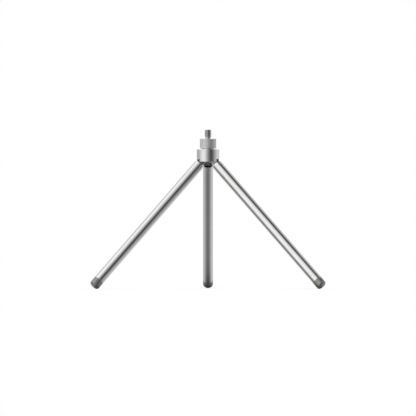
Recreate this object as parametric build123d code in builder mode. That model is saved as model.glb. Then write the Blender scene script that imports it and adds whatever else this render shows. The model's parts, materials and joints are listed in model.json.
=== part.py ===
from build123d import *
import os
from math import cos, radians, sin, sqrt

# A table tripod for a small camera. Millimetres, +Z up. The origin is the centre of
# the camera seat, on the axis of the head, so the feet stand far below z = 0.

# Camera screw, 1/4"-20
thread_radius = 3.175
thread_length = 6.5
relief_height = 1.6
relief_radius = 2.35
relief_sink = 0.6
thread_chamfer = 0.55
lead_chamfer = 0.35

# Thumb wheel
wheel_radius = 7.25
wheel_height = 8.6
wheel_bore = 3.2
wheel_edge = 0.3
ridge_count = 90
ridge_depth = 0.1
plain_band = 0.55
collar_radius = 4.2
collar_height = 1.2

# Hub: a turned cup with the leg carrier pressed into it
hub_radius = 10.0
hub_height = 11.0
hub_wall = 1.2
hub_top = 2.4
hub_edge = 0.3
rim_edge = 0.2
notch_height = 2.4

# Spindle bearing under the wheel
play = 0.05
neck_radius = 5.5
neck_height = 0.7
bush_radius = 3.5
journal_radius = 2.5
washer_radius = 4.1
washer_height = 0.4
spring_bore = 2.6
spring_rise = 0.35
spring_thickness = 0.35
clip_radius = 3.9
clip_height = 0.6
clip_seat = 1.95
clip_relief = 2.8
clip_opening = 3.2
prong_length = 1.8
prong_width = 1.3
prong_angles = [90, 180, 270]
spindle_tail = 0.8
spindle_chamfer = 0.3
cavity_radius = 4.6
cavity_floor = 0.4

# Legs and their hinges
leg_names = ["back", "left", "right"]
leg_count = len(leg_names)
first_azimuth = 90
spread = 45
pivot_radius = 5.4
pivot_drop = 19.3
pin_radius = 0.6
pin_half = 6.3
pin_chamfer = 0.15
blade_thickness = 3.5
blade_half = 2.2
slot_width = 3.7
slot_inner = 2.7
stop_height = 2.4
stop_gap = 0.02
stop_reach = 1.84
shoulder_half = 3.0
shoulder_end = 1.2

tube_radius = 4.5
tube_bore = 3.8
leg_length = 157.4
mouth = 5.1
ferrule_length = 2.3
spigot_length = 3.0
ferrule_bore = 3.45
ferrule_edge = 0.25
mouth_chamfer = 0.3
plug_length = 8.0
plug_chamfer = 0.4
cap_length = 6.9
cap_round = 1.8
cap_seam = 0.15
stem_length = 8.0
stem_chamfer = 0.5

# Heights worked out from the top down
neck_top = -wheel_height - play
hub_z = neck_top - neck_height
rim_z = hub_z - hub_height
plate_z = hub_z - hub_top
core_radius = hub_radius - hub_wall
washer_z = plate_z - washer_height
spring_z = washer_z - play
clip_z = spring_z - spring_rise - spring_thickness
spindle_z = clip_z - clip_height - spindle_tail
cavity_z = spindle_z - cavity_floor
pivot_z = -pivot_drop
roof_z = pivot_z + stop_height + stop_gap
slot_outer = hub_radius + hub_wall
slot_length = slot_outer - slot_inner

leg_azimuths = [first_azimuth + leg * 360 / leg_count for leg in range(leg_count)]

os.makedirs("parts", exist_ok=True)


def save(part, name):
    part.label = name
    export_step(part, f"parts/{name}.step")


def hinge_plane(azimuth, droop=0):
    """Plane across a leg's pivot pin. x runs outwards, tipped down by droop degrees."""
    turn = radians(azimuth)
    tip = radians(droop)
    outwards = Vector(cos(turn), sin(turn), 0)
    return Plane(
        origin=outwards * pivot_radius + Vector(0, 0, pivot_z),
        x_dir=outwards * cos(tip) - Vector(0, 0, sin(tip)),
        z_dir=outwards.cross(Vector(0, 0, 1)),
    )


def leg_plane(azimuth):
    """The hinge plane with x down the leg and y on its upper side."""
    return hinge_plane(azimuth, spread)


# The camera screw is one turned piece: thread, relief, body, collar, journal and clip groove.
with BuildPart() as camera_screw:
    with BuildSketch(Plane.XZ):
        with BuildLine():
            Polyline(
                (0, relief_height + thread_length),
                (thread_radius - thread_chamfer, relief_height + thread_length),
                (thread_radius, relief_height + thread_length - thread_chamfer),
                (thread_radius, relief_height + lead_chamfer),
                (thread_radius - lead_chamfer, relief_height),
                (relief_radius, relief_height),
                (relief_radius, -relief_sink),
                (wheel_bore, -relief_sink),
                (wheel_bore, collar_height - wheel_height),
                (collar_radius, collar_height - wheel_height),
                (collar_radius, -wheel_height),
                (journal_radius, -wheel_height),
                (journal_radius, clip_z),
                (clip_seat, clip_z),
                (clip_seat, clip_z - clip_height),
                (journal_radius, clip_z - clip_height),
                (journal_radius, spindle_z + spindle_chamfer),
                (journal_radius - spindle_chamfer, spindle_z),
                (0, spindle_z),
                close=True,
            )
        make_face()
    revolve(axis=Axis.Z)
save(camera_screw.part, "camera_screw")


# The thumb wheel has fine straight ridges for the fingers, and a plain band at each end.
with BuildPart() as thumb_wheel:
    with BuildSketch(Plane.XY.offset(-wheel_height)):
        Circle(wheel_radius)
        Circle(wheel_bore, mode=Mode.SUBTRACT)
    extrude(amount=wheel_height)
    outer_edges = thumb_wheel.edges().filter_by(GeomType.CIRCLE).group_by(SortBy.RADIUS)[-1]
    chamfer(outer_edges, wheel_edge)
    with BuildSketch(Plane.XY.offset(-wheel_height)):
        Circle(collar_radius)
    extrude(amount=collar_height, mode=Mode.SUBTRACT)
    with BuildSketch(Plane.XY.offset(plain_band - wheel_height)):
        with PolarLocations(wheel_radius, ridge_count):
            Rectangle(ridge_depth * sqrt(2), ridge_depth * sqrt(2), rotation=45)
    extrude(amount=wheel_height - 2 * plain_band, mode=Mode.SUBTRACT)
save(thumb_wheel.part, "thumb_wheel")


# The flanged bush lines the hub's bore. Its flange is the narrow neck under the wheel.
with BuildPart() as spindle_bush:
    with BuildSketch(Plane.XY.offset(hub_z)):
        Circle(neck_radius)
    extrude(amount=neck_height)
    with BuildSketch(Plane.XY.offset(plate_z)):
        Circle(bush_radius)
    extrude(amount=hub_top)
    with BuildSketch(Plane.XY.offset(plate_z)):
        Circle(journal_radius + play)
    extrude(amount=hub_top + neck_height, mode=Mode.SUBTRACT)
save(spindle_bush.part, "spindle_bush")


# The washer under the hub's top plate carries the disc spring.
with BuildPart() as bearing_washer:
    with BuildSketch(Plane.XY.offset(washer_z)):
        Circle(washer_radius)
        Circle(journal_radius + 2 * play, mode=Mode.SUBTRACT)
    extrude(amount=washer_height)
save(bearing_washer.part, "bearing_washer")


# A coned disc spring takes up the end play of the spindle.
with BuildPart() as disc_spring:
    with BuildSketch(Plane.XZ):
        with BuildLine():
            Polyline(
                (spring_bore, spring_z - spring_rise),
                (washer_radius, spring_z),
                (washer_radius, spring_z - spring_thickness),
                (spring_bore, spring_z - spring_rise - spring_thickness),
                close=True,
            )
        make_face()
    revolve(axis=Axis.Z)
save(disc_spring.part, "disc_spring")


# The retaining clip: a slotted ring whose three prongs sit in the spindle's groove.
with BuildPart() as retaining_clip:
    with BuildSketch(Plane.XY.offset(clip_z - clip_height)):
        Circle(clip_radius)
        Circle(clip_relief, mode=Mode.SUBTRACT)
        for angle in prong_angles:
            with PolarLocations(clip_seat, 1, start_angle=angle):
                Rectangle(prong_length, prong_width)
        with Locations((clip_radius, 0)):
            Rectangle(2 * clip_radius, clip_opening, mode=Mode.SUBTRACT)
        Circle(clip_seat, mode=Mode.SUBTRACT)
    extrude(amount=clip_height)
save(retaining_clip.part, "retaining_clip")


# The hub's shell is a turned cup, open below, with a notch in its rim over each leg.
with BuildPart() as hub_shell:
    with BuildSketch(Plane.XY.offset(rim_z)):
        Circle(hub_radius)
    extrude(amount=hub_height)
    chamfer(hub_shell.edges().group_by(Axis.Z)[-1], hub_edge)
    chamfer(hub_shell.edges().group_by(Axis.Z)[0], rim_edge)
    with BuildSketch(Plane.XY.offset(rim_z)):
        Circle(core_radius)
    extrude(amount=hub_height - hub_top, mode=Mode.SUBTRACT)
    with BuildSketch(Plane.XY.offset(plate_z)):
        Circle(bush_radius)
    extrude(amount=hub_top, mode=Mode.SUBTRACT)
    with BuildSketch(Plane.XY.offset(rim_z)):
        with PolarLocations(slot_inner + slot_length / 2, leg_count, start_angle=first_azimuth):
            Rectangle(slot_length, slot_width)
    extrude(amount=notch_height, mode=Mode.SUBTRACT)
save(hub_shell.part, "hub_shell")


# The leg carrier: three radial slots for the legs' blades, bored across for the pins,
# and a blind cavity above for the end of the spindle.
with BuildPart() as leg_carrier:
    with BuildSketch(Plane.XY.offset(rim_z)):
        Circle(core_radius)
    extrude(amount=plate_z - rim_z)
    with BuildSketch(Plane.XY.offset(cavity_z)):
        Circle(cavity_radius)
    extrude(amount=plate_z - cavity_z, mode=Mode.SUBTRACT)
    with BuildSketch(Plane.XY.offset(rim_z)):
        with PolarLocations(slot_inner + slot_length / 2, leg_count, start_angle=first_azimuth):
            Rectangle(slot_length, slot_width)
    extrude(amount=roof_z - rim_z, mode=Mode.SUBTRACT)
    for azimuth in leg_azimuths:
        with BuildSketch(hinge_plane(azimuth)):
            Circle(pin_radius)
        extrude(amount=hub_radius, both=True, mode=Mode.SUBTRACT)
save(leg_carrier.part, "leg_carrier")


def pivot_pin(azimuth):
    """Plain pin across a slot, held in the carrier and closed in by the shell."""
    with BuildPart() as pin:
        with BuildSketch(hinge_plane(azimuth)):
            Circle(pin_radius)
        extrude(amount=pin_half, both=True)
        chamfer(pin.edges().filter_by(GeomType.CIRCLE), pin_chamfer)
    return pin.part


def tongue(azimuth):
    """Plug for the tube, with the blade that the pivot pin passes through."""
    plug_start = mouth + ferrule_length + spigot_length
    diagonal = stop_height / sqrt(2)
    reach = stop_reach / sqrt(2)
    with BuildPart() as piece:
        with BuildSketch(leg_plane(azimuth)):
            Circle(blade_half)
            with BuildLine():
                Polyline(
                    (-diagonal, diagonal),
                    (reach - diagonal, reach + diagonal),
                    (shoulder_end, shoulder_half),
                    (shoulder_end + shoulder_half - blade_half, blade_half),
                    (0, 0),
                    close=True,
                )
            make_face()
            make_hull()
            with Locations((plug_start / 2, 0)):
                Rectangle(plug_start, 2 * blade_half)
        extrude(amount=blade_thickness / 2, both=True)
        with BuildSketch(leg_section(azimuth, plug_start)):
            Circle(tube_bore)
        extrude(amount=plug_length)
        far_end = piece.faces().sort_by_distance(leg_section(azimuth, leg_length).origin)[0]
        chamfer(far_end.edges(), plug_chamfer)
        with BuildSketch(leg_plane(azimuth)):
            Circle(pin_radius + play)
        extrude(amount=blade_thickness, both=True, mode=Mode.SUBTRACT)
    return piece.part


def leg_section(azimuth, distance):
    """Plane square to the leg, at a distance from its pivot, facing the foot."""
    along = leg_plane(azimuth)
    return Plane(
        origin=along.origin + along.x_dir * distance,
        x_dir=along.y_dir,
        z_dir=along.x_dir,
    )


def turned(azimuth, profile):
    """A closed profile of (distance along the leg, radius) points, turned about the leg's axis."""
    along = leg_plane(azimuth)
    with BuildPart() as piece:
        with BuildSketch(along):
            with BuildLine():
                Polyline(*profile, close=True)
            make_face()
        revolve(axis=Axis(along.origin, along.x_dir))
    return piece.part


def ferrule(azimuth):
    """Flanged ring that finishes the tube's mouth, open for the blade."""
    flange_end = mouth + ferrule_length
    spigot_end = flange_end + spigot_length
    return turned(
        azimuth,
        [
            (mouth, ferrule_bore + mouth_chamfer),
            (mouth, tube_radius - ferrule_edge),
            (mouth + ferrule_edge, tube_radius),
            (flange_end, tube_radius),
            (flange_end, tube_bore),
            (spigot_end, tube_bore),
            (spigot_end, ferrule_bore),
            (mouth + mouth_chamfer, ferrule_bore),
        ],
    )


def leg_tube(azimuth):
    """Plain drawn tube."""
    tube_start = mouth + ferrule_length
    tube_end = leg_length - cap_length
    return turned(
        azimuth,
        [
            (tube_start, tube_bore),
            (tube_start, tube_radius),
            (tube_end, tube_radius),
            (tube_end, tube_bore),
        ],
    )


def foot_cap(azimuth):
    """Rubber cap flush with the tube, on a stem pushed into it."""
    cap_start = leg_length - cap_length
    stem_start = cap_start - stem_length
    corner = (1 - 1 / sqrt(2)) * cap_round
    along = leg_plane(azimuth)
    with BuildPart() as piece:
        with BuildSketch(along):
            with BuildLine():
                Polyline(
                    (leg_length, 0),
                    (stem_start, 0),
                    (stem_start, tube_bore - stem_chamfer),
                    (stem_start + stem_chamfer, tube_bore),
                    (cap_start, tube_bore),
                    (cap_start, tube_radius - cap_seam),
                    (cap_start + cap_seam, tube_radius),
                    (leg_length - cap_round, tube_radius),
                )
                ThreePointArc(
                    (leg_length - cap_round, tube_radius),
                    (leg_length - corner, tube_radius - corner),
                    (leg_length, tube_radius - cap_round),
                )
                Line((leg_length, tube_radius - cap_round), (leg_length, 0))
            make_face()
        revolve(axis=Axis(along.origin, along.x_dir))
    return piece.part


for leg_name, azimuth in zip(leg_names, leg_azimuths):
    save(pivot_pin(azimuth), f"pivot_pin_{leg_name}")
    save(tongue(azimuth), f"tongue_{leg_name}")
    save(ferrule(azimuth), f"ferrule_{leg_name}")
    save(leg_tube(azimuth), f"leg_tube_{leg_name}")
    save(foot_cap(azimuth), f"foot_cap_{leg_name}")
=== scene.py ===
import json
from math import asin, ceil, cos, pi, radians, sin

import bmesh
import bpy
from mathutils import Matrix, Vector


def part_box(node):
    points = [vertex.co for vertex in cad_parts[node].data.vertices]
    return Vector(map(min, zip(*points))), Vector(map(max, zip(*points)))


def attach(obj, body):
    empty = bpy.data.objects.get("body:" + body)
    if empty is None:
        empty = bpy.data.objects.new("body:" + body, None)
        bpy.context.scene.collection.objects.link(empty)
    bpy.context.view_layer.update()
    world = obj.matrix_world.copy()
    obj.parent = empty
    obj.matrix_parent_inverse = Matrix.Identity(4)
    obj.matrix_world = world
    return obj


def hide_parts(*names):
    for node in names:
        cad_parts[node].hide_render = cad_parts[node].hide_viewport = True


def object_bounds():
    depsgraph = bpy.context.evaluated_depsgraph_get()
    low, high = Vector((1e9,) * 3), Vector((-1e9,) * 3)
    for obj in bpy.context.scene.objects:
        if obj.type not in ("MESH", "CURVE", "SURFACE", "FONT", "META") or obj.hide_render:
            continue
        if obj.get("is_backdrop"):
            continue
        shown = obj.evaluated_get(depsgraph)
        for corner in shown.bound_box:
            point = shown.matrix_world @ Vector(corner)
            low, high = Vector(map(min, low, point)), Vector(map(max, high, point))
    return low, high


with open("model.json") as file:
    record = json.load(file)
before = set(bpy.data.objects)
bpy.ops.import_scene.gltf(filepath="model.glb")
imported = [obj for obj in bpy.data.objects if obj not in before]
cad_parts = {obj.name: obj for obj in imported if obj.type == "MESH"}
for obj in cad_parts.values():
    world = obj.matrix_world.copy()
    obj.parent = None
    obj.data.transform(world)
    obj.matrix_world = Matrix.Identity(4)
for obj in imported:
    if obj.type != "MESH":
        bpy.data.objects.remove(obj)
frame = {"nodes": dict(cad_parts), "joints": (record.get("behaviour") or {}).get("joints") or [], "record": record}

MM = 0.001
TINY = 1e-7

low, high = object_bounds()
floor_z = low.z
nodes = frame["nodes"]
joints = {joint["name"]: joint for joint in frame["joints"]}
leg_names = [name[len("leg_tube_"):] for name in nodes if name.startswith("leg_tube_")]
mounts = {mount["name"]: mount for mount in frame["record"]["mounts"]}
slots = {entry["node"]: entry["material_slot"] for entry in frame["record"]["subparts"]}
body_names = {
    node: body
    for body, members in frame["record"]["behaviour"]["bodies"].items()
    for node in members
}

# The picture's width in the plane of the head's axis, and its middle's height over the floor
picture_width = 369.4 * MM
picture_height = 71.6 * MM
lens = 1500
sensor = 36

# Sizes of the turned pieces that their boxes in the frame don't give
around = 96
tube_round = 0.12 * MM
hub_round = 0.25 * MM
bush_round = 0.08 * MM
ferrule_round = 0.2 * MM
cap_seam_round = 0.15 * MM
milled_round = 0.1 * MM
hub_wall = 1.2 * MM
hub_top = 2.4 * MM
hub_bore = 3.5 * MM
notch_half = 1.85 * MM
notch_height = 2.4 * MM
journal_radius = 2.5 * MM
journal_clearance = 0.05 * MM
neck_height = 0.7 * MM
thread_pitch = 1.27 * MM
thread_depth = 0.7 * MM
thread_flat = 0.125
thread_steps = 24
relief_height = 1.6 * MM
relief_radius = 2.35 * MM
body_sink = 0.6 * MM
body_radius = 3.2 * MM
collar_radius = 4.2 * MM
collar_height = 1.2 * MM
clip_seat = 1.95 * MM
ridge_count = 90
ridge_samples = 10
groove_depth = 0.1 * MM
groove_half = 0.05 * MM
plain_band = 0.55 * MM
tube_bore = 3.8 * MM
ferrule_bore = 3.45 * MM
cap_round = 1.8 * MM
stem_chamfer = 0.5 * MM


# ---------------------------------------------------------------- places

def centre_of(name):
    lowest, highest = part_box(name)
    return (lowest + highest) / 2


def leg_place(leg):
    """Frame with its origin at the leg's pivot, z down the leg and x towards its upper side."""
    joint = joints[f"leg_{leg}_fold"]
    pivot = Vector(joint["pos_m"])
    pin = Vector(joint["axis"]).normalized()
    along = centre_of(f"foot_cap_{leg}") - pivot
    along = (along - pin * along.dot(pin)).normalized()
    upper = pin.cross(along)
    if upper.z < 0:
        upper = -upper
    place = Matrix((upper, along.cross(upper), along)).transposed().to_4x4()
    place.translation = pivot
    return place


def span(name, place):
    """Start, end and largest radius of a CAD node along and about a frame's z axis."""
    inverse = place.inverted()
    points = [inverse @ vertex.co for vertex in nodes[name].data.vertices]
    heights = [point.z for point in points]
    return min(heights), max(heights), max(point.xy.length for point in points)


# ---------------------------------------------------------------- meshes

def ring(build, height, radius, sides=around, radius_at=None):
    """A circle of vertices about the z axis, or one vertex when it lies on the axis."""
    if radius < TINY:
        return [build.verts.new((0, 0, height))]
    result = []
    for side in range(sides):
        angle = 2 * pi * side / sides
        r = radius_at(height, radius, angle) if radius_at else radius
        result.append(build.verts.new((r * cos(angle), r * sin(angle), height)))
    return result


def add_face(build, corners):
    unique = list(dict.fromkeys(corners))
    if len(unique) > 2:
        build.faces.new(unique)


def bridge(build, first, second):
    """Faces between two circles, or between a circle and a point on the axis."""
    sides = max(len(first), len(second))
    for side in range(sides):
        following = side + 1
        add_face(build, [
            first[side % len(first)],
            first[following % len(first)],
            second[following % len(second)],
            second[side % len(second)],
        ])


def finished(name, build, place, sharp=None):
    """The object made of a bmesh, smooth apart from edges over the sharp angle."""
    bmesh.ops.recalc_face_normals(build, faces=build.faces)
    mesh = bpy.data.meshes.new(name)
    build.to_mesh(mesh)
    build.free()
    for polygon in mesh.polygons:
        polygon.use_smooth = True
    if sharp:
        mesh.set_sharp_from_angle(angle=radians(sharp))
    piece = bpy.data.objects.new(name, mesh)
    bpy.context.scene.collection.objects.link(piece)
    piece.matrix_world = place
    return piece


def lathe(name, outline, place, closed=True):
    """A solid of revolution about the frame's z axis from (height, radius) points."""
    build = bmesh.new()
    rings = [ring(build, height, radius) for height, radius in outline]
    for first, second in zip(rings, rings[1:]):
        bridge(build, first, second)
    if closed:
        bridge(build, rings[-1], rings[0])
    return finished(name, build, place)


def soften(piece, width, segments=3):
    """Rounds the piece's sharp edges and keeps its flat and turned faces true."""
    bevel = piece.modifiers.new("edges", "BEVEL")
    bevel.width = width
    bevel.segments = segments
    bevel.limit_method = "ANGLE"
    bevel.angle_limit = radians(30)
    bevel.harden_normals = True
    return piece


def stand_for(piece, node, finish):
    """The piece rides with a CAD node's body and is shown in its place."""
    piece.data.materials.append(finish)
    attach(piece, body_names[node])
    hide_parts(node)


# ---------------------------------------------------------------- materials

class Nodes:
    """Adds nodes to a tree and links them, with plain calls."""

    def __init__(self, tree):
        self.tree = tree
        tree.nodes.clear()

    def add(self, kind, inputs=None, **settings):
        node = self.tree.nodes.new(kind)
        for key, value in settings.items():
            setattr(node, key, value)
        for key, value in (inputs or {}).items():
            socket = node.inputs[key]
            if isinstance(value, bpy.types.NodeSocket):
                self.tree.links.new(value, socket)
            else:
                socket.default_value = value
        return node

    def link(self, source, target):
        self.tree.links.new(source, target)

    def math(self, operation, *values, clamp=False):
        inputs = dict(enumerate(values))
        return self.add("ShaderNodeMath", inputs, operation=operation, use_clamp=clamp).outputs[0]

    def remap(self, value, from_low, from_high, to_low, to_high):
        inputs = {
            "Value": value,
            "From Min": from_low,
            "From Max": from_high,
            "To Min": to_low,
            "To Max": to_high,
        }
        return self.add("ShaderNodeMapRange", inputs, interpolation_type="SMOOTHSTEP").outputs["Result"]

    def noise(self, vector, scale, detail=3.0, roughness=0.55):
        inputs = {"Vector": vector, "Scale": scale, "Detail": detail, "Roughness": roughness}
        return self.add("ShaderNodeTexNoise", inputs).outputs["Fac"]

    def stretched(self, vector, scale):
        return self.add("ShaderNodeMapping", {"Vector": vector, "Scale": scale}).outputs["Vector"]

    def ramp(self, value, dark, light):
        ramp = self.add("ShaderNodeValToRGB", {"Fac": value})
        ramp.color_ramp.elements[0].color = [*dark, 1.0]
        ramp.color_ramp.elements[1].color = [*light, 1.0]
        return ramp.outputs["Color"]


def new_material(name):
    material = bpy.data.materials.new(name)
    material.use_nodes = True
    return material, Nodes(material.node_tree)


def metal(
    name,
    colour,
    roughness,
    lines,
    line_scale,
    anisotropy=0.0,
    rotation=0.0,
    bump=0.02,
    wear=0.06,
):
    """Worked metal. lines stretches the noise along the tool marks, as x, y and z scales."""
    smudge_scale = 70.0
    speck_scale = 2400.0
    speck_share = 0.2
    mark_share = 0.4
    material, make = new_material(name)
    place = make.add("ShaderNodeTexCoord").outputs["Object"]
    marks = make.noise(make.stretched(place, lines), line_scale, 4.0, 0.6)
    smudge = make.noise(place, smudge_scale, 4.0, 0.55)
    specks = make.noise(place, speck_scale, 2.0, 0.5)
    dark = [channel * (1 - wear) for channel in colour]
    stain = make.ramp(make.remap(smudge, 0.38, 0.66, 0.0, 1.0), dark, colour)
    tint = make.add(
        "ShaderNodeMix",
        {"Factor": make.remap(marks, 0.35, 0.7, 0.0, mark_share), "A": stain, "B": [*dark, 1.0]},
        data_type="RGBA",
    )
    grain = make.remap(marks, 0.3, 0.7, roughness * 0.85, roughness * 1.15)
    prints = make.remap(smudge, 0.5, 0.72, 0.0, roughness * 0.3)
    height = make.math("ADD", marks, make.math("MULTIPLY", specks, speck_share))
    relief = make.add("ShaderNodeBump", {"Height": height, "Strength": bump, "Distance": 0.02 * MM})
    shader = make.add(
        "ShaderNodeBsdfPrincipled",
        {"Metallic": 1.0, "Anisotropic": anisotropy, "Anisotropic Rotation": rotation},
    )
    make.link(tint.outputs["Result"], shader.inputs["Base Color"])
    make.link(make.math("ADD", grain, prints), shader.inputs["Roughness"])
    make.link(relief.outputs["Normal"], shader.inputs["Normal"])
    if anisotropy:
        tangent = make.add("ShaderNodeTangent", direction_type="RADIAL", axis="Z")
        make.link(tangent.outputs["Tangent"], shader.inputs["Tangent"])
    output = make.add("ShaderNodeOutputMaterial")
    make.link(shader.outputs["BSDF"], output.inputs["Surface"])
    return material


def rubber(name):
    """Moulded rubber: satin, finely grained, with paler dusty scuffs."""
    grain_scale = 5200.0
    scuff_scale = 320.0
    scuff_share = 0.4
    clean = (0.075, 0.07, 0.067)
    dusty = (0.11, 0.104, 0.1)
    material, make = new_material(name)
    place = make.add("ShaderNodeTexCoord").outputs["Object"]
    grain = make.noise(place, grain_scale, 3.0, 0.6)
    scuff = make.noise(place, scuff_scale, 5.0, 0.65)
    colour = make.ramp(make.remap(scuff, 0.4, 0.7, 0.0, 1.0), clean, dusty)
    height = make.math("ADD", grain, make.math("MULTIPLY", scuff, scuff_share))
    relief = make.add("ShaderNodeBump", {"Height": height, "Strength": 0.08, "Distance": 0.03 * MM})
    shader = make.add("ShaderNodeBsdfPrincipled", {"Specular IOR Level": 1.0, "IOR": 2.1})
    make.link(colour, shader.inputs["Base Color"])
    make.link(make.remap(grain, 0.3, 0.7, 0.26, 0.36), shader.inputs["Roughness"])
    make.link(relief.outputs["Normal"], shader.inputs["Normal"])
    output = make.add("ShaderNodeOutputMaterial")
    make.link(shader.outputs["BSDF"], output.inputs["Surface"])
    return material


# Stretches of the tool marks, then each slot's colour, roughness, marks and their scale, per metre
along = (1.0, 1.0, 0.02)
round_axis = (0.04, 0.04, 1.0)
even = (1.0, 1.0, 1.0)
metals = {
    "drawn_aluminium": ((0.88, 0.88, 0.875), 0.16, along, 4200, {"anisotropy": 0.3}),
    "turned_aluminium": ((0.92, 0.92, 0.915), 0.18, round_axis, 5200, {"anisotropy": 0.4, "rotation": 0.25}),
    "satin_aluminium": ((0.88, 0.88, 0.875), 0.58, round_axis, 4200, {}),
    "polished_ferrule": ((0.92, 0.92, 0.915), 0.12, round_axis, 5200, {"anisotropy": 0.3, "rotation": 0.25}),
    "bush_steel": ((0.8, 0.795, 0.79), 0.24, round_axis, 4200, {}),
    "screw_steel": ((0.7, 0.7, 0.705), 0.26, round_axis, 3800, {"bump": 0.04, "wear": 0.2}),
    "carrier_aluminium": ((0.62, 0.62, 0.62), 0.38, round_axis, 3000, {"bump": 0.05}),
    "blackened_steel": ((0.5, 0.5, 0.505), 0.28, even, 2600, {"bump": 0.04, "wear": 0.3}),
    "hardware_steel": ((0.62, 0.61, 0.6), 0.28, even, 2600, {}),
    "spring_steel": ((0.16, 0.17, 0.2), 0.32, even, 2600, {}),
}
finishes = {
    slot: metal(slot, colour, roughness, lines, scale, **extras)
    for slot, (colour, roughness, lines, scale, extras) in metals.items()
}
finishes["foot_rubber"] = rubber("foot_rubber")
for name, node in nodes.items():
    node.data.materials.clear()
    node.data.materials.append(finishes[slots[name]])


# ---------------------------------------------------------------- camera screw and thumb wheel

def thread_radius(phase, crest):
    """Radius of a 60 degree thread with flats on its crests and roots, at a phase of 0 to 1."""
    wave = abs(2 * (phase % 1) - 1)
    flank = (wave - thread_flat) / (1 - 2 * thread_flat)
    return crest - thread_depth * min(max(flank, 0), 1)


def add_thread(build, bottom, top, crest):
    """A right-hand thread whose rows of vertices follow the helix. Returns its two end circles."""
    root = crest - thread_depth
    first = ring(build, bottom, root)
    last = ring(build, top, root)
    rise = thread_pitch / thread_steps
    found = {}

    def corner(row, side):
        if side == around:
            return corner(row + thread_steps, 0)
        height = bottom + rise * (row + thread_steps * side / around)
        if height <= bottom + TINY:
            return first[side]
        if height >= top - TINY:
            return last[side]
        if (row, side) not in found:
            angle = 2 * pi * side / around
            radius = min(
                thread_radius(row / thread_steps, crest),
                root + height - bottom,
                root + top - height,
            )
            found[row, side] = build.verts.new((radius * cos(angle), radius * sin(angle), height))
        return found[row, side]

    for row in range(-thread_steps, ceil((top - bottom) / rise) + 1):
        for side in range(around):
            add_face(build, [
                corner(row, side),
                corner(row, side + 1),
                corner(row + 1, side + 1),
                corner(row + 1, side),
            ])
    return first, last


def make_screw():
    """The threaded spindle in one piece, from the tail in the carrier to the tip of the thread."""
    tail, tip, _ = span("camera_screw", Matrix.Identity(4))
    crest = mounts["camera_screw"]["dims"]["r_mm"] * MM
    wheel_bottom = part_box("thumb_wheel")[0].z
    clip_bottom, clip_top = (corner.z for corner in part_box("retaining_clip"))
    chamfer = 0.3 * MM
    outline = [
        (tail, 0),
        (tail, journal_radius - chamfer),
        (tail + chamfer, journal_radius),
        (clip_bottom, journal_radius),
        (clip_bottom, clip_seat),
        (clip_top, clip_seat),
        (clip_top, journal_radius),
        (wheel_bottom, journal_radius),
        (wheel_bottom, collar_radius),
        (wheel_bottom + collar_height, collar_radius),
        (wheel_bottom + collar_height, body_radius),
        (-body_sink, body_radius),
        (-body_sink, relief_radius),
        (relief_height, relief_radius),
    ]
    build = bmesh.new()
    rings = [ring(build, height, radius) for height, radius in outline]
    first, last = add_thread(build, relief_height, tip, crest)
    rings.append(first)
    for lower, upper in zip(rings, rings[1:]):
        bridge(build, lower, upper)
    bridge(build, last, [build.verts.new((0, 0, tip))])
    screw = finished("threaded_screw", build, Matrix.Identity(4), sharp=25)
    stand_for(screw, "camera_screw", finishes["screw_steel"])


def make_wheel():
    """The thumb wheel, with fine straight grooves between two plain bands."""
    bottom, top, radius = span("thumb_wheel", Matrix.Identity(4))
    edge = 0.3 * MM
    fade = 0.1 * MM
    hold = 0.1 * MM
    rows = 12
    ridge_pitch = 2 * pi * radius / ridge_count

    def ridged(height, plain, angle):
        if plain < radius - TINY:
            return plain
        inside = min(height - bottom - plain_band, top - plain_band - height)
        turn = angle * ridge_count / (2 * pi)
        across = abs(turn - round(turn)) * ridge_pitch
        groove = groove_depth * max(1 - across / groove_half, 0)
        return plain - groove * min(max(inside / fade, 0), 1)

    def rounded(corner_height, inwards):
        return [
            (corner_height + inwards * edge * (1 - cos(turn)), radius - edge * (1 - sin(turn)))
            for turn in (radians(step) for step in range(0, 91, 15))
        ]

    lower_edge = rounded(bottom, 1)
    upper_edge = rounded(top, -1)[::-1]
    ridge_start = bottom + plain_band
    ridge_end = top - plain_band
    full_depth = ridge_end - ridge_start - 2 * fade
    side_rows = [ridge_start, ridge_start + fade]
    side_rows += [ridge_start + fade + full_depth * row / rows for row in range(1, rows)]
    side_rows += [ridge_end - fade, ridge_end]
    outline = [
        (bottom, collar_radius),
        (bottom, collar_radius + hold),
        (bottom, radius - edge - hold),
        *lower_edge,
        (bottom + edge + hold, radius),
        *[(height, radius) for height in side_rows],
        (top - edge - hold, radius),
        *upper_edge,
        (top, radius - edge - hold),
        (top, body_radius + 2 * hold),
        (top - hold, body_radius + hold),
        (bottom + collar_height, body_radius + hold),
        (bottom + collar_height, collar_radius),
    ]
    build = bmesh.new()
    sides = ridge_count * ridge_samples
    rings = [ring(build, height, r, sides, ridged) for height, r in outline]
    for lower, upper in zip(rings, rings[1:]):
        bridge(build, lower, upper)
    bridge(build, rings[-1], rings[0])
    wheel = finished("knurled_wheel", build, Matrix.Identity(4), sharp=35)
    stand_for(wheel, "thumb_wheel", finishes["satin_aluminium"])


make_screw()
make_wheel()


# ---------------------------------------------------------------- hub and bush

def make_bush():
    """The spindle's bush, whose flange is the neck between wheel and hub."""
    bottom, top, radius = span("spindle_bush", Matrix.Identity(4))
    flange = top - neck_height
    bore = journal_radius + journal_clearance
    outline = [
        (bottom, bore),
        (bottom, hub_bore),
        (flange, hub_bore),
        (flange, radius),
        (top, radius),
        (top, bore),
    ]
    bush = soften(lathe("flanged_bush", outline, Matrix.Identity(4)), bush_round)
    stand_for(bush, "spindle_bush", finishes["bush_steel"])


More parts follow.
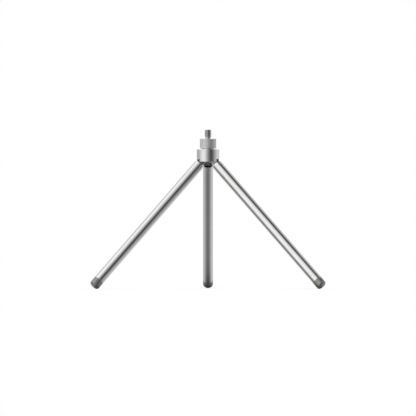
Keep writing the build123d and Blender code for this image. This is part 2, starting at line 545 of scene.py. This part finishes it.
def make_hub():
    """The turned cup. Its columns of vertices keep each notch's walls parallel."""
    bottom, top, radius = span("hub_shell", Matrix.Identity(4))
    inner = radius - hub_wall
    notch_columns = 8
    plain_columns = 64
    notch_azimuths = [centre_of(f"leg_tube_{leg}").xy for leg in leg_names]
    turns = sorted(point.angle_signed(Vector((1, 0))) % (2 * pi) for point in notch_azimuths)
    outline = [
        (bottom, radius),
        (bottom + notch_height, radius),
        (top, radius),
        (top, hub_bore),
        (top - hub_top, hub_bore),
        (top - hub_top, inner),
        (bottom + notch_height, inner),
        (bottom, inner),
    ]

    def angles(r):
        """Angles of the columns at a radius, from the first notch's first wall on."""
        edge = asin(notch_half / r)
        result = []
        for start, following in zip(turns, turns[1:] + [turns[0] + 2 * pi]):
            for column in range(notch_columns):
                across = notch_half * (2 * column / notch_columns - 1)
                result.append(start + asin(across / r))
            plain = following - start - 2 * edge
            result += [start + edge + plain * column / plain_columns for column in range(plain_columns)]
        return result

    build = bmesh.new()
    rings = [
        [build.verts.new((r * cos(angle), r * sin(angle), height)) for angle in angles(r)]
        for height, r in outline
    ]
    columns = len(rings[0])
    in_notch = [column % (notch_columns + plain_columns) < notch_columns for column in range(columns)]
    low_outer, high_outer, high_inner, low_inner = rings[0], rings[1], rings[-2], rings[-1]
    for lower, upper in zip(rings, rings[1:] + rings[:1]):
        cut = lower in (low_outer, high_inner, low_inner)
        for column in range(columns):
            following = (column + 1) % columns
            if not (cut and in_notch[column]):
                add_face(build, [lower[column], lower[following], upper[following], upper[column]])
    for column in range(columns):
        following = (column + 1) % columns
        if in_notch[column]:
            add_face(build, [
                high_outer[column],
                high_outer[following],
                high_inner[following],
                high_inner[column],
            ])
        if in_notch[column] != in_notch[column - 1]:
            add_face(build, [
                low_outer[column],
                high_outer[column],
                high_inner[column],
                low_inner[column],
            ])
    hub = soften(finished("turned_hub", build, Matrix.Identity(4)), hub_round)
    stand_for(hub, "hub_shell", finishes["turned_aluminium"])


make_bush()
make_hub()
for name in ["leg_carrier"] + [f"tongue_{leg}" for leg in leg_names]:
    soften(nodes[name], milled_round, segments=2)


# ---------------------------------------------------------------- legs

def make_leg(leg):
    """One leg's tube, the ring in its mouth and the cap on its foot."""
    place = leg_place(leg)
    tube_start, tube_end, tube_radius = span(f"leg_tube_{leg}", place)
    mouth, spigot_end, ferrule_radius = span(f"ferrule_{leg}", place)
    stem_start, foot_end, foot_radius = span(f"foot_cap_{leg}", place)
    seam = 0.02 * MM

    tube = [
        (tube_start, tube_bore),
        (tube_start, tube_radius),
        (tube_end, tube_radius),
        (tube_end, tube_bore),
    ]
    piece = soften(lathe(f"drawn_tube_{leg}", tube, place), tube_round)
    stand_for(piece, f"leg_tube_{leg}", finishes["drawn_aluminium"])

    flange = [
        (mouth, ferrule_bore),
        (mouth, ferrule_radius),
        (tube_start - seam, ferrule_radius),
        (tube_start - seam, tube_bore),
        (spigot_end, tube_bore),
        (spigot_end, ferrule_bore),
    ]
    piece = soften(lathe(f"mouth_ring_{leg}", flange, place), ferrule_round)
    stand_for(piece, f"ferrule_{leg}", finishes["polished_ferrule"])

    arc = [
        (
            foot_end - cap_round + cap_round * sin(radians(angle)),
            foot_radius - cap_round + cap_round * cos(radians(angle)),
        )
        for angle in range(0, 91, 9)
    ]
    cap = [
        (stem_start, 0),
        (stem_start, tube_bore - stem_chamfer),
        (stem_start + stem_chamfer, tube_bore),
        (tube_end + seam, tube_bore),
        (tube_end + seam, foot_radius),
        (foot_end - 2 * cap_round, foot_radius),
        *arc,
        (foot_end, foot_radius - 1.5 * cap_round),
        (foot_end, 0),
    ]
    piece = soften(lathe(f"rubber_cap_{leg}", cap, place, closed=False), cap_seam_round)
    stand_for(piece, f"foot_cap_{leg}", finishes["foot_rubber"])


for leg in leg_names:
    make_leg(leg)


# ---------------------------------------------------------------- studio

def add_floor():
    """A pale floor that lights the feet, and takes their soft shadows in the light it bounces. To the camera and
    in reflections it is clear, tinted with a painted shadow from ambient occlusion where things are near it, so
    legs folded down past it, and the underside, can be seen."""
    half_size = 0.6
    floor_grey = (0.85, 0.85, 0.85, 1.0)
    shadow_reach = 0.04
    darkest_painted_shadow = 0.2
    mesh = bpy.data.meshes.new("floor")
    corners = [(x * half_size, y * half_size, 0) for x, y in ((-1, -1), (1, -1), (1, 1), (-1, 1))]
    mesh.from_pydata(corners, [], [(0, 1, 2, 3)])
    floor = bpy.data.objects.new("floor", mesh)
    floor.location.z = floor_z
    material, make = new_material("pale_floor")
    pale = make.add("ShaderNodeBsdfDiffuse", {"Color": floor_grey})
    # Painted shadow: ambient occlusion darkens the clear floor that the camera and reflections see near the feet
    # and legs.
    openness = make.add("ShaderNodeAmbientOcclusion", {"Distance": shadow_reach}, samples=16).outputs["AO"]
    painted_shadow = make.remap(openness, 0.4, 1.0, darkest_painted_shadow, 1.0)
    clear = make.add("ShaderNodeBsdfTransparent", {"Color": painted_shadow})
    rays = make.add("ShaderNodeLightPath").outputs
    seen = make.math("MAXIMUM", rays["Is Camera Ray"], rays["Is Glossy Ray"])
    surface = make.add("ShaderNodeMixShader", {0: seen, 1: pale.outputs["BSDF"], 2: clear.outputs["BSDF"]})
    output = make.add("ShaderNodeOutputMaterial")
    make.link(surface.outputs["Shader"], output.inputs["Surface"])
    mesh.materials.append(material)
    bpy.context.scene.collection.objects.link(floor)
    floor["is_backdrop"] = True


def direction(azimuth, elevation):
    """Unit vector towards a place in the studio. Azimuth 0 is the camera's side, 90 its right."""
    a, e = radians(azimuth), radians(elevation)
    return Vector((sin(a) * cos(e), -cos(a) * cos(e), sin(e)))


# Soft lights and, with strengths under 0, dark flags: azimuth, elevation, tightness and strength
ambient = 0.6
studio = {
    "key": (-65, 30, 3, 1.3),
    "low_fill": (-35, -30, 7, 1.2),
    "right_fill": (120, -5, 5, 0.25),
    "right_flag": (40, 20, 8, -0.35),
    "sweep": (-160, -50, 5, 1.25),
    "table_flag": (-55, -45, 1.2, -1.25),
    "top_flag": (60, 70, 15, -0.7),
}


def add_world():
    """Each light is a soft lobe about its direction. The camera itself sees plain white."""
    darkest = 0.03
    brightest = 1.2
    world = bpy.data.worlds.new("studio")
    world.use_nodes = True
    bpy.context.scene.world = world
    make = Nodes(world.node_tree)
    looking = make.add("ShaderNodeTexCoord").outputs["Generated"]
    total = ambient
    for azimuth, elevation, tightness, strength in studio.values():
        centre = direction(azimuth, elevation)
        dot = make.add("ShaderNodeVectorMath", {0: looking, 1: centre}, operation="DOT_PRODUCT")
        facing = dot.outputs["Value"]
        falloff = make.math("EXPONENT", make.math("MULTIPLY_ADD", facing, tightness, -tightness))
        total = make.math("MULTIPLY_ADD", falloff, strength, total)
    lit = make.math("MINIMUM", make.math("MAXIMUM", total, darkest), brightest)
    seen = make.add("ShaderNodeLightPath").outputs["Is Camera Ray"]
    light = make.add("ShaderNodeMix", {"Factor": seen, "A": lit, "B": 1.0}, data_type="FLOAT")
    background = make.add("ShaderNodeBackground", {"Color": light.outputs["Result"]})
    output = make.add("ShaderNodeOutputWorld")
    make.link(background.outputs["Background"], output.inputs["Surface"])


def add_top_light():
    """Broad light from straight above for the floor and the rubber, with soft shadows."""
    lamp = bpy.data.lights.new("top_light", "SUN")
    lamp.energy = 1.8
    lamp.angle = radians(70)
    holder = bpy.data.objects.new("top_light", lamp)
    holder.location = (0, 0, 1)
    holder.visible_glossy = False
    holder.visible_camera = False
    bpy.context.scene.collection.objects.link(holder)


def add_camera():
    camera = bpy.data.cameras.new("camera")
    camera.lens = lens
    camera.sensor_width = sensor
    camera.clip_start = 0.1
    camera.clip_end = 100.0
    holder = bpy.data.objects.new("camera", camera)
    holder.location = (0, -picture_width * lens / sensor, floor_z + picture_height)
    holder.rotation_euler = (pi / 2, 0, 0)
    bpy.context.scene.collection.objects.link(holder)
    bpy.context.scene.camera = holder


add_floor()
add_world()
add_top_light()
add_camera()
bpy.context.scene.view_settings.view_transform = "Standard"

low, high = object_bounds()
